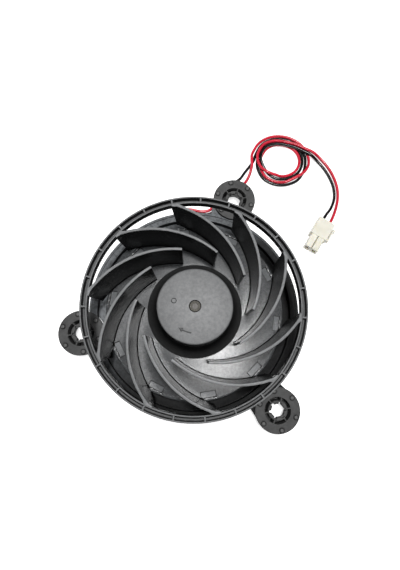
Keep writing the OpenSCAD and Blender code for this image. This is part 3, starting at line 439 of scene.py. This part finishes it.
def whole_route(side, start, coil, end):
    """The points of a lead: straight out of the frame, along the table, round the coil, into the connector."""
    along = (EXIT_AT - BOARD_HOLE) / np.linalg.norm(EXIT_AT - BOARD_HOLE)
    across = np.array([-along[1], along[0]])
    out = [[*(EXIT_AT + along * d + across * side), LEAD_Z] for d in (0, LEAD_D)]
    a, r, z = np.array(coil, float).T
    turns = np.stack([COIL_AT[0] + r * np.cos(np.radians(a)), COIL_AT[1] + r * np.sin(np.radians(a)), z], 1)
    c, s = math.cos(CONN_TURN), math.sin(CONN_TURN)
    x = 2.25 * side
    home = [[CONN_AT[0] + x * c - y * s, CONN_AT[1] + x * s + y * c, z]
            for y, z in ((25.4, 3.2), (20.9, 3.6), (17.4, 3.6))]
    return np.concatenate([out, start + ROUTE_SHIFT, turns, end + ROUTE_SHIFT, home])


def smooth_line(points, steps=8):
    """A curve through the points: a cubic between each pair, heading at each point as its neighbours do."""
    p = np.concatenate([[2 * points[0] - points[1]], points, [2 * points[-1] - points[-2]]])
    a, b, c, d = (p[i:len(p) - 3 + i, None, :] for i in range(4))
    t = np.linspace(0, 1, steps, endpoint=False)[None, :, None]
    line = 0.5 * (2 * b + (c - a) * t + (2 * a - 5 * b + 4 * c - d) * t ** 2 + (3 * b - a - 3 * c + d) * t ** 3)
    line = np.concatenate([line.reshape(-1, 3), points[-1:]])
    line[:, 2] = np.maximum(line[:, 2], LEAD_D / 2)
    return line


def glossy_pvc(name, deep, pale):
    """Extruded PVC: a glossy colour that drifts a little along the lead, with faint drawing marks."""
    material, shader, add, wire = new_finish(name)
    place = add("ShaderNodeTexCoord", {}).outputs["Object"]
    drift = add("ShaderNodeTexNoise", {"Vector": place, "Scale": 140.0, "Detail": 3.0})
    marks = add("ShaderNodeTexNoise", {"Vector": place, "Scale": 2200.0, "Detail": 2.0})
    wire(shader, "Base Color", blend_of(add, deep, pale, drift.outputs["Fac"]))
    gloss = add("ShaderNodeMapRange", {"Value": marks.outputs["Fac"], "To Min": 0.2, "To Max": 0.32})
    wire(shader, "Roughness", gloss.outputs["Result"])
    bump = add("ShaderNodeBump", {"Height": marks.outputs["Fac"], "Strength": 0.25, "Distance": 0.00005})
    wire(shader, "Normal", bump.outputs["Normal"])
    return material


def lead_curve(name, line):
    """A round lead as a curve of one open spline through the line's points."""
    curve = bpy.data.curves.new(name, "CURVE")
    curve.dimensions = "3D"
    spline = curve.splines.new("POLY")
    spline.points.add(len(line) - 1)
    spline.points.foreach_set("co", np.c_[line * MM, np.ones(len(line))].astype(np.float32).ravel())
    curve.bevel_depth = LEAD_D / 2 * MM
    curve.bevel_resolution = 5
    curve.use_fill_caps = True
    return bpy.data.objects.new(name, curve)


red_pvc = glossy_pvc("red_pvc", (0.58, 0.014, 0.036, 1), (0.72, 0.024, 0.055, 1))
black_pvc = glossy_pvc("black_pvc", grey(0.002), grey(0.004))
red_line = smooth_line(whole_route(1, red_start, red_coil, red_end))
black_line = smooth_line(whole_route(-1, black_start, black_coil, black_end))
red_cord = settle(lead_curve("lead_red_free", red_line), "frame", red_pvc, ["red_lead"])
black_cord = settle(lead_curve("lead_black_free", black_line), "frame", black_pvc, ["black_lead"])
settle(solid["inner_red_lead"], "frame", red_pvc)
settle(solid["inner_black_lead"], "frame", black_pvc)

# Connector: a two-way housing of ivory nylon with a latch arm on its side, and a brass socket in each way.
# The crimped sockets click into the housing from behind, and the leads follow them in.


def ivory_nylon():
    """Natural nylon: a warm white, a little yellower in clouds, soft gloss and some light let through."""
    material, shader, add, wire = new_finish("ivory_nylon")
    place = add("ShaderNodeTexCoord", {}).outputs["Object"]
    cloud = add("ShaderNodeTexNoise", {"Vector": place, "Scale": 180.0, "Detail": 5.0})
    grain = add("ShaderNodeTexNoise", {"Vector": place, "Scale": 2600.0, "Detail": 2.0})
    wire(shader, "Base Color", blend_of(add, (0.76, 0.735, 0.63, 1), (0.83, 0.81, 0.72, 1), cloud.outputs["Fac"]))
    gloss = add("ShaderNodeMapRange", {"Value": cloud.outputs["Fac"], "To Min": 0.32, "To Max": 0.48})
    wire(shader, "Roughness", gloss.outputs["Result"])
    bump = add("ShaderNodeBump", {"Height": grain.outputs["Fac"], "Strength": 0.3, "Distance": 0.00008})
    wire(shader, "Normal", bump.outputs["Normal"])
    shader.inputs["Subsurface Weight"].default_value = 0.25
    shader.inputs["Subsurface Radius"].default_value = (0.0012, 0.0010, 0.0007)
    shader.inputs["Subsurface Scale"].default_value = 1.0
    return material


socket_brass = drawn_metal("socket_brass", (0.58, 0.45, 0.24, 1), (0.74, 0.62, 0.38, 1), 0.35, 1200.0)
housing = settle(softened("connector_housing", "plug_housing", 0.2), "frame", ivory_nylon(),
                 ["connector_housing"])
sockets = settle(solid["connector_terminals"], "frame", socket_brass)


# Shaft with its clip, washer and insert, and the steel cup with the ring magnet that turns round the stator.
# The shaft is ground steel, the insert is a zinc alloy pressed on it and moulded into the hub.
ground_steel = drawn_metal("ground_steel", grey(0.035, 0.05), grey(0.065, 0.05), 0.5, 1500.0, (1, 1, 10))
zinc_alloy = clouded("zinc_alloy", (0.07, 0.066, 0.056, 1), (0.12, 0.114, 0.098, 1), 0.85, 1400.0)
plated_steel = drawn_metal("plated_steel", grey(0.36, -0.02), grey(0.46, -0.02), 0.42, 300.0)
ferrite = clouded("ferrite", grey(0.03), grey(0.06), 0.6, 700.0)
settle(solid["shaft"], "rotor", ground_steel)
settle(solid["retaining_clip"], "rotor", plated_steel)
settle(solid["spacer_washer"], "rotor", white_nylon)
settle(softened("shaft_insert", "insert", 0.12), "rotor", zinc_alloy, ["shaft_insert"])
settle(solid["rotor_yoke"], "rotor", plated_steel)
settle(solid["rotor_magnet"], "rotor", ferrite)

# Hub of the impeller: a cup over the rotor with a flat crown, a step and a hollow flare at its foot.
# Black ABS, moulded in one with the back plate, blades and ring; a raised arrow shows the way it turns.
PLATE_TOP, PLATE_UNDER = 12.8, 11.2
HUB_TOP, HUB_R, HUB_BORE, HUB_INSIDE, HUB_ROOF = 32.7, 19.6, 2.73, 18.0, 31.1
STEP_R, STEP_TOP, STEP_UNDER = 20.1, 20.4, 19.8
FLARE_FOOT, FLARE_ARC = 26.6, 14.0
ARROW_R, ARROW_TAIL, ARROW_NECK, ARROW_TIP = 13.6, 259, 239, 229
MARK_AT = (-10.6, 3.4)
FRONT = 38.5
TURN = np.radians(np.arange(0, 360, 1.0))

impeller_black = moulded_plastic("impeller_black", grey(0.004, 0.02), grey(0.009, 0.02), grey(0.27, -0.02),
                                 0.40, 1500.0, 0.00012, 0.22)


def rounded_section(corners, radii, steps=5):
    """A closed section with its corners rounded: each corner becomes a curve that leaves one side and joins
    the next at the given distance from the corner."""
    p = np.array(corners, float)
    r = np.broadcast_to(np.array(radii, float), len(p))[:, None]
    back, ahead = np.roll(p, 1, 0) - p, np.roll(p, -1, 0) - p
    reach_back, reach_ahead = np.linalg.norm(back, axis=1)[:, None], np.linalg.norm(ahead, axis=1)[:, None]
    a = p + back / reach_back * np.minimum(r, reach_back * 0.45)
    b = p + ahead / reach_ahead * np.minimum(r, reach_ahead * 0.45)
    t = np.linspace(0, 1, steps)[None, :, None]
    return ((1 - t) ** 2 * a[:, None] + 2 * t * (1 - t) * p[:, None] + t ** 2 * b[:, None]).reshape(-1, 2)


def lathed(section, turn=TURN):
    """A section of radius and height carried round the axis."""
    r, z = section[:, 0][:, None], section[:, 1][:, None]
    return np.stack([r * np.cos(turn), r * np.sin(turn), z + 0 * turn], -1)


flare_from, flare_to = np.array([STEP_R, STEP_UNDER]), np.array([FLARE_FOOT, PLATE_TOP - 0.02])
flare_chord = flare_to - flare_from
flare_rise = math.sqrt(FLARE_ARC ** 2 - flare_chord @ flare_chord / 4) / np.linalg.norm(flare_chord)
flare_centre = (flare_from + flare_to) / 2 + np.array([-flare_chord[1], flare_chord[0]]) * flare_rise
flare_ends = np.arctan2((flare_from - flare_centre)[1], (flare_from - flare_centre)[0]), np.arctan2(
    (flare_to - flare_centre)[1], (flare_to - flare_centre)[0])
sweep = np.linspace(*flare_ends, 14)[1:-1, None]
flare = flare_centre + FLARE_ARC * np.concatenate([np.cos(sweep), np.sin(sweep)], 1)
hub_corners = [[HUB_BORE, HUB_TOP], [3.3, HUB_TOP], [HUB_R, HUB_TOP], [HUB_R, STEP_TOP + 0.05],
               [STEP_R, STEP_TOP], [STEP_R, STEP_UNDER], *flare.tolist(), [FLARE_FOOT, PLATE_TOP - 0.02],
               [FLARE_FOOT, PLATE_UNDER], [HUB_INSIDE, PLATE_UNDER], [HUB_INSIDE, HUB_ROOF], [HUB_BORE, HUB_ROOF]]
hub_radii = [0.2, 0.02, 1.0, 0.1, 0.1, 0.1] + [0.2] * len(flare) + [0.05, 0.1, 0.3, 0.5, 0.1]
hub_skin = lathed(rounded_section(hub_corners, hub_radii))


def arrow_points():
    """The raised arrow: a low bar with a rounded back along an arc, widening into its head at the end."""
    along = np.concatenate([np.linspace(ARROW_TAIL, ARROW_NECK + 0.1, 30), [ARROW_NECK],
                            np.linspace(ARROW_NECK - 0.1, ARROW_TIP, 12)])
    head = np.clip((along - ARROW_TIP) / (ARROW_NECK - ARROW_TIP), 0, 1)
    half = np.where(along > ARROW_NECK + 0.05, 0.38, head * 1.25 + 0.02)
    across = np.linspace(-1, 1, 9)
    rise = 0.3 * np.sqrt(np.clip(1 - np.abs(across) ** 3, 0, 1)) - 0.05
    r = ARROW_R + half[:, None] * across
    a = np.radians(along)[:, None]
    return np.stack([r * np.cos(a), r * np.sin(a), HUB_TOP + rise + 0 * r], -1)


def mark_points():
    """The raised ring left of the shaft: a low rounded bead round a small circle."""
    turn = np.radians(np.arange(0, 360, 10.0))
    bead = np.radians(np.linspace(-20, 200, 9))[:, None]
    r = 1.2 + 0.2 * np.cos(bead)
    x, y = MARK_AT[0] + r * np.cos(turn), MARK_AT[1] + r * np.sin(turn)
    return np.stack([x, y, HUB_TOP + 0.24 * np.sin(bead) + 0 * turn], -1)


hub_patches = [(hub_skin, True, True), (arrow_points(), False, False), (mark_points(), False, True)]
# Painted light and shade: the crown's top, the arrow and the ring mark are painted paler as a sheen, the flare is
# painted paler towards its foot as a sheen, and a ring of painted shade lies round the bore.
hub_painted_tone = [ease((points[..., 2] - (HUB_TOP - 0.5)) / 0.45) * share
            for (points, _, _), share in zip(hub_patches, (0.52, 0.12, 0.12))]
hub_reach = np.hypot(hub_skin[..., 0], hub_skin[..., 1])
on_flare = (hub_skin[..., 2] > PLATE_UNDER + 0.1) & (hub_skin[..., 2] < 20)
hub_painted_tone[0] = np.where(hub_reach < 3.2, -1, np.where(on_flare, 0.06 * ease((hub_reach - 20) / 6), hub_painted_tone[0]))
settle(skin("hub", hub_patches, painted_light_and_shade=hub_painted_tone), "rotor", impeller_black, ["impeller_hub"])

# Back plate of the impeller, a flat ring at the foot of the hub, with a shallow pocket in each passage.
# The same black ABS in one moulding with the hub, but smooth, so it shines and shows more of its mottle.
POCKET_R, POCKET_L, POCKET_W, POCKET_D = 46.4, 8.4, 3.4, 0.6


def plate_points():
    """The plate as one closed grid: columns go round, rows follow its section from the hub over the top to the
    rim and back below. The top sinks in the pockets, by how far a point lies inside the nearest one."""
    fine = np.concatenate([np.arange(-6.2, 6.21, 0.2), np.arange(8, 30, 2.0)])
    turn = np.radians((np.arange(10)[:, None] * 36 - 12 + fine).ravel())
    inner = [26.5, 28, 32, 36, 40, 43, 44.2]
    rim = [48.8, 49.3, 49.5, 49.64, 49.7, 49.7, 49.6, 49.4]
    r = np.concatenate([inner, np.arange(44.5, 48.4, 0.1), rim, [40, 26.5]])
    z = np.full(len(r), PLATE_TOP)
    z[-8:-3] = [PLATE_TOP - 0.03, PLATE_TOP - 0.15, PLATE_TOP - 0.35, PLATE_UNDER + 0.3, PLATE_UNDER + 0.1]
    z[-3:] = PLATE_UNDER
    r, z = r[:, None] + 0 * turn, z[:, None] + 0 * turn
    near = np.radians((np.degrees(turn) + 12 + 18) % 36 - 18)
    x, y = r * np.cos(near) - POCKET_R, r * np.sin(near)
    inside = np.minimum(POCKET_W / 2 - np.abs(x), POCKET_L / 2 - np.abs(y))
    # Painted sheen on each pocket's floor, and painted shade along its border.
    border = ease(1 - np.abs(inside) / 0.3)
    painted_tone = np.where(z > PLATE_TOP - 0.01, 0.5 * ease(inside / 0.3 - 0.6) - border, 0)
    z = z - np.where(z > PLATE_TOP - 0.01, POCKET_D * ease(inside / 0.22 + 0.5), 0)
    return np.stack([r * np.cos(turn), r * np.sin(turn), z], -1), painted_tone


plate_black = moulded_plastic("plate_black", grey(0.024, -0.05), grey(0.072, -0.05), grey(0.17, -0.04),
                              0.18, 1500.0, 0.00004, 0.40)
plate_skin, plate_painted_tone = plate_points()
settle(skin("back_plate", [(plate_skin, True, True)], painted_light_and_shade=[plate_painted_tone]), "rotor", plate_black,
       ["impeller_backplate"])

# Blades: ten upright vanes, curved backwards, that stand on the plate and carry the ring at their outer ends.
# Their walls are smoother than the hub and mirror the plate; the free top edges are painted pale as a highlight,
# and small fillets join them to the plate and to the ring.
BLADES, BLADE_T, BLADE_ARC = 10, 1.5, 50.0
BLADE_FIRST, BLADE_SWEEP = 28, 70
BLADE_IN, BLADE_OUT = 28.8, 52.4
RING_UNDER = 34.3


def blade_points(start):
    """One blade as rows along its arc and columns round its upright section. Its inner end is square to the arc;
    its outer end lies where the arc, moved sideways by the section's offset, crosses the ring's inner wall."""
    a, b = np.radians(start), np.radians(start + BLADE_SWEEP)
    inner, outer = BLADE_IN * np.array([np.cos(a), np.sin(a)]), BLADE_OUT * np.array([np.cos(b), np.sin(b)])
    chord = outer - inner
    along = chord / np.linalg.norm(chord)
    side = np.array([along[1], -along[0]])
    centre = (inner + outer) / 2 - side * math.sqrt(BLADE_ARC ** 2 - (np.linalg.norm(chord) / 2) ** 2)
    foot, brow = 0.6, 0.38
    q = np.radians(np.linspace(0, 90, 5))
    rise = np.concatenate([PLATE_TOP - 0.06 + foot * (1 - np.cos(q)), np.linspace(14.2, 30.2, 7),
                           np.linspace(31, RING_UNDER, 8), np.linspace(RING_UNDER + 0.2, 37.6, 5),
                           FRONT - brow + brow * np.sin(q)])
    swell = np.concatenate([foot * (1 - np.sin(q)), np.zeros(20), brow * (np.cos(q) - 1)])
    half = BLADE_T / 2 + 0.08 - 0.16 * (rise - PLATE_TOP) / (FRONT - PLATE_TOP)
    rise = np.concatenate([rise, rise[::-1]])
    way = np.concatenate([np.ones(len(half)), -np.ones(len(half))])
    half, swell = np.concatenate([half, half[::-1]]), np.concatenate([swell, swell[::-1]])
    arc = BLADE_ARC + way * half
    gap, toward = np.linalg.norm(centre), math.atan2(-centre[1], -centre[0])
    first = inner - centre
    sign = np.sign(-centre[0] * first[1] + centre[1] * first[0])
    end = BLADE_OUT - 0.6 + 0.75 * ease((rise - 14) / (RING_UNDER - 14))
    last = toward + sign * np.arccos((arc ** 2 + gap ** 2 - end ** 2) / (2 * arc * gap))
    begin = math.atan2(first[1], first[0])
    u = np.concatenate([[0, 0.0006, 0.002, 0.005, 0.009, 0.014], np.linspace(0.03, 0.9, 34),
                        np.linspace(0.91, 1, 16)])
    angle = begin + u[:, None] * ((last - begin + np.pi) % (2 * np.pi) - np.pi)
    r = np.hypot(centre[0] + arc * np.cos(angle), centre[1] + arc * np.sin(angle))
    nose = 0.22 * (1 - np.sqrt(np.clip(1 - np.clip(1 - arc * np.abs(angle - begin) / 0.22, 0, 1) ** 2, 0, 1)))
    on_plate = ease((49.6 - r) / 0.6)
    web = 0.6 * ease((r - 51.2) / 1.3) * ease((rise - (RING_UNDER - 2.2)) / 2.2)
    offset = way * (half - nose + swell * np.where(swell > 0, on_plate, 1) + web)
    x, y = (centre[k] + (BLADE_ARC + offset) * f(angle) for k, f in enumerate((np.cos, np.sin)))
    # Painted highlight: the top edge of each blade is painted paler.
    edge_highlight = 0.75 * ease((rise - (FRONT - 0.8)) / 0.6) + 0 * x
    return np.stack([x, y, rise + 0 * x], -1), edge_highlight


blade_black = moulded_plastic("blade_black", grey(0.004, 0.02), grey(0.009, 0.02), grey(0.27, -0.02),
                              0.22, 1500.0, 0.00003, 0.12)
vanes = [blade_points(BLADE_FIRST + 360 // BLADES * k) for k in range(BLADES)]
settle(skin("blades", [(points, False, True) for points, _ in vanes], crease=42,
            painted_light_and_shade=[painted_tone for _, painted_tone in vanes]),
       "rotor", blade_black, ["impeller_blades"])

# Ring at the front of the impeller: an open channel with ribs across it that stiffens the blades' outer ends.
# The same black ABS in one moulding with the blades, with the finish of the hub.
RING_OUT, RING_IN, RING_WALL = 56.0, 52.4, 0.8
RIBS, RIB_T, RIB_FIRST, RIB_FOOT = 23, 0.8, 99.5, 35.2
CELL_FLOOR, CELL_IN, CELL_OUT = 35.3, 54.3, 55.0

ring_section = rounded_section(
    [[RING_IN, RING_UNDER], [RING_OUT, RING_UNDER], [RING_OUT, FRONT], [RING_OUT - RING_WALL, FRONT],
     [RING_OUT - RING_WALL, CELL_FLOOR], [CELL_OUT, CELL_FLOOR], [CELL_IN, CELL_FLOOR],
     [CELL_IN - 0.15, CELL_FLOOR], [RING_IN + RING_WALL, CELL_FLOOR], [RING_IN + RING_WALL, FRONT],
     [RING_IN, FRONT]],
    [0.4, 0.5, 0.28, 0.28, 0.15, 0.01, 0.01, 0.01, 0.2, 0.28, 0.28])
ring_skin = lathed(ring_section)
ring_reach, ring_rise = np.hypot(ring_skin[..., 0], ring_skin[..., 1]), ring_skin[..., 2]
# The front edges are painted pale as a highlight; painted shade darkens the channel, less on its outer wall, and a
# strip of painted light runs along its floor.
ring_painted_tone = 0.5 * ease((ring_rise - (FRONT - 0.35)) / 0.3)
in_channel = np.abs(ring_reach - (RING_IN + RING_OUT) / 2) < 1.05
in_channel &= (ring_rise > CELL_FLOOR - 0.1) & (ring_rise < FRONT - 0.5)
ring_painted_tone = np.where(in_channel, -1 + 0.8 * (ring_reach > CELL_OUT + 0.1), ring_painted_tone)
ring_painted_tone = np.where(in_channel & (np.abs(ring_reach - (CELL_IN + CELL_OUT) / 2) < 0.36), 0.3, ring_painted_tone)


def rib_points(turn):
    """One rib: a low bar with a rounded back, carried outwards across the channel."""
    q = np.radians(np.linspace(0, 180, 9))
    back = RIB_T / 2 * np.sign(np.cos(q)) * np.abs(np.cos(q)) ** 0.4
    y = np.concatenate([[RIB_T / 2 + 0.15], back, [-RIB_T / 2 - 0.15]])
    z = np.concatenate([[RIB_FOOT], FRONT - 0.4 + 0.25 * np.sin(q) ** 0.6, [RIB_FOOT]])
    r = np.linspace(RING_IN + 0.4, RING_OUT - 0.4, 4)[:, None]
    x = r + 0 * y
    c, s = math.cos(turn), math.sin(turn)
    return np.stack([x * c - y * s, x * s + y * c, z + 0 * x], -1)


ribs = [rib_points(math.radians(RIB_FIRST + 360 / RIBS * k)) for k in range(RIBS)]
# The ribs are painted black as shade down in the channel, and their tops paler as a highlight.
settle(skin("ring", [(ring_skin, True, True)] + [(points, False, False) for points in ribs],
            painted_light_and_shade=[ring_painted_tone] + [1.6 * ease((points[..., 2] - 37.8) / 0.3) - 1 for points in ribs]),
       "rotor", impeller_black, ["impeller_ring"])

# Stage: a pale floor, a large soft lamp overhead, a small one that casts the shadows and a weak one for the
# gloss of the plate, and the camera that looks down at the fan as it lies on its back.
floor_mesh = bpy.data.meshes.new("floor")
reach = 3.0
floor_mesh.from_pydata([(-reach, -reach, 0), (reach, -reach, 0), (reach, reach, 0), (-reach, reach, 0)], [],
                       [(0, 1, 2, 3)])
floor_white, shader, add, wire = new_finish("floor_white")
path = add("ShaderNodeLightPath", {})
seen = add("ShaderNodeMath", {0: path.outputs["Is Camera Ray"], 1: path.outputs["Is Glossy Ray"]},
           operation="MAXIMUM")
seen = add("ShaderNodeMath", {0: seen.outputs[0], 1: path.outputs["Is Transmission Ray"]}, operation="MAXIMUM")
lift = add("ShaderNodeMath", {0: seen.outputs[0], 1: 0.75}, operation="MULTIPLY")
shader.inputs["Base Color"].default_value = grey(0.86)
shader.inputs["Roughness"].default_value = 0.9
shader.inputs["Specular IOR Level"].default_value = 0.0
shader.inputs["Emission Color"].default_value = (1, 1, 1, 1)
wire(shader, "Emission Strength", lift.outputs[0])
floor = bpy.data.objects.new("floor", floor_mesh)
floor_mesh.materials.append(floor_white)
bpy.context.scene.collection.objects.link(floor)


def soft_lamp(name, place, aim, wide, deep, power):
    """A soft lamp of that width and depth at a place, facing a point."""
    lamp = bpy.data.lights.new(name, "AREA")
    lamp.shape, lamp.size, lamp.size_y, lamp.energy = "RECTANGLE", wide, deep, power
    stand = bpy.data.objects.new(name, lamp)
    stand.location = place
    stand.rotation_mode = "QUATERNION"
    stand.rotation_quaternion = (Vector(aim) - Vector(place)).to_track_quat("-Z", "Y")
    bpy.context.scene.collection.objects.link(stand)


soft_lamp("overhead_box", (0.06, 0.20, 0.62), (0.06, 0.20, 0), 0.66, 0.42, 0.8)
soft_lamp("key_box", (0.012, 0.085, 0.60), (0.01, -0.01, 0), 0.05, 0.05, 2.3)
soft_lamp("side_box", (0.057, -0.030, 0.60), (0.012, -0.025, 0), 0.10, 0.10, 1.0)

world = bpy.data.worlds.new("studio")
world.use_nodes = True
sky = world.node_tree
heading = sky.nodes.new("ShaderNodeSeparateXYZ")
sky.links.new(sky.nodes.new("ShaderNodeTexCoord").outputs["Generated"], heading.inputs["Vector"])
dimming = sky.nodes.new("ShaderNodeMapRange")
for key, value in (("From Min", 0.04), ("From Max", 0.3), ("To Min", 0.18), ("To Max", 0.05)):
    dimming.inputs[key].default_value = value
sky.links.new(heading.outputs["Z"], dimming.inputs["Value"])
sky.links.new(dimming.outputs["Result"], sky.nodes["Background"].inputs["Strength"])
sky.nodes["Background"].inputs["Color"].default_value = (1, 1, 1, 1)
bpy.context.scene.world = world
bpy.context.scene.view_settings.view_transform = "Standard"

camera = bpy.data.objects.new("camera", bpy.data.cameras.new("camera"))
ahead, up = Vector((0.04556, 0.14726, -0.98805)).normalized(), Vector((0.05429, 0.98725, 0.14964))
right = ahead.cross(up).normalized()
camera.matrix_world = Matrix.Translation((-0.00241, -0.02334, 0.20297)) @ Matrix(
    (right, right.cross(ahead), -ahead)).transposed().to_4x4()
SENSOR, FOCAL, PICTURE_HIGH = 36.0, 339.95, 570
camera.data.sensor_width = SENSOR
camera.data.lens = SENSOR * FOCAL / PICTURE_HIGH
camera.data.shift_x = -5.6 / PICTURE_HIGH
camera.data.shift_y = 16.5 / PICTURE_HIGH
camera.data.clip_start = 0.01
bpy.context.scene.collection.objects.link(camera)
bpy.context.scene.camera = camera
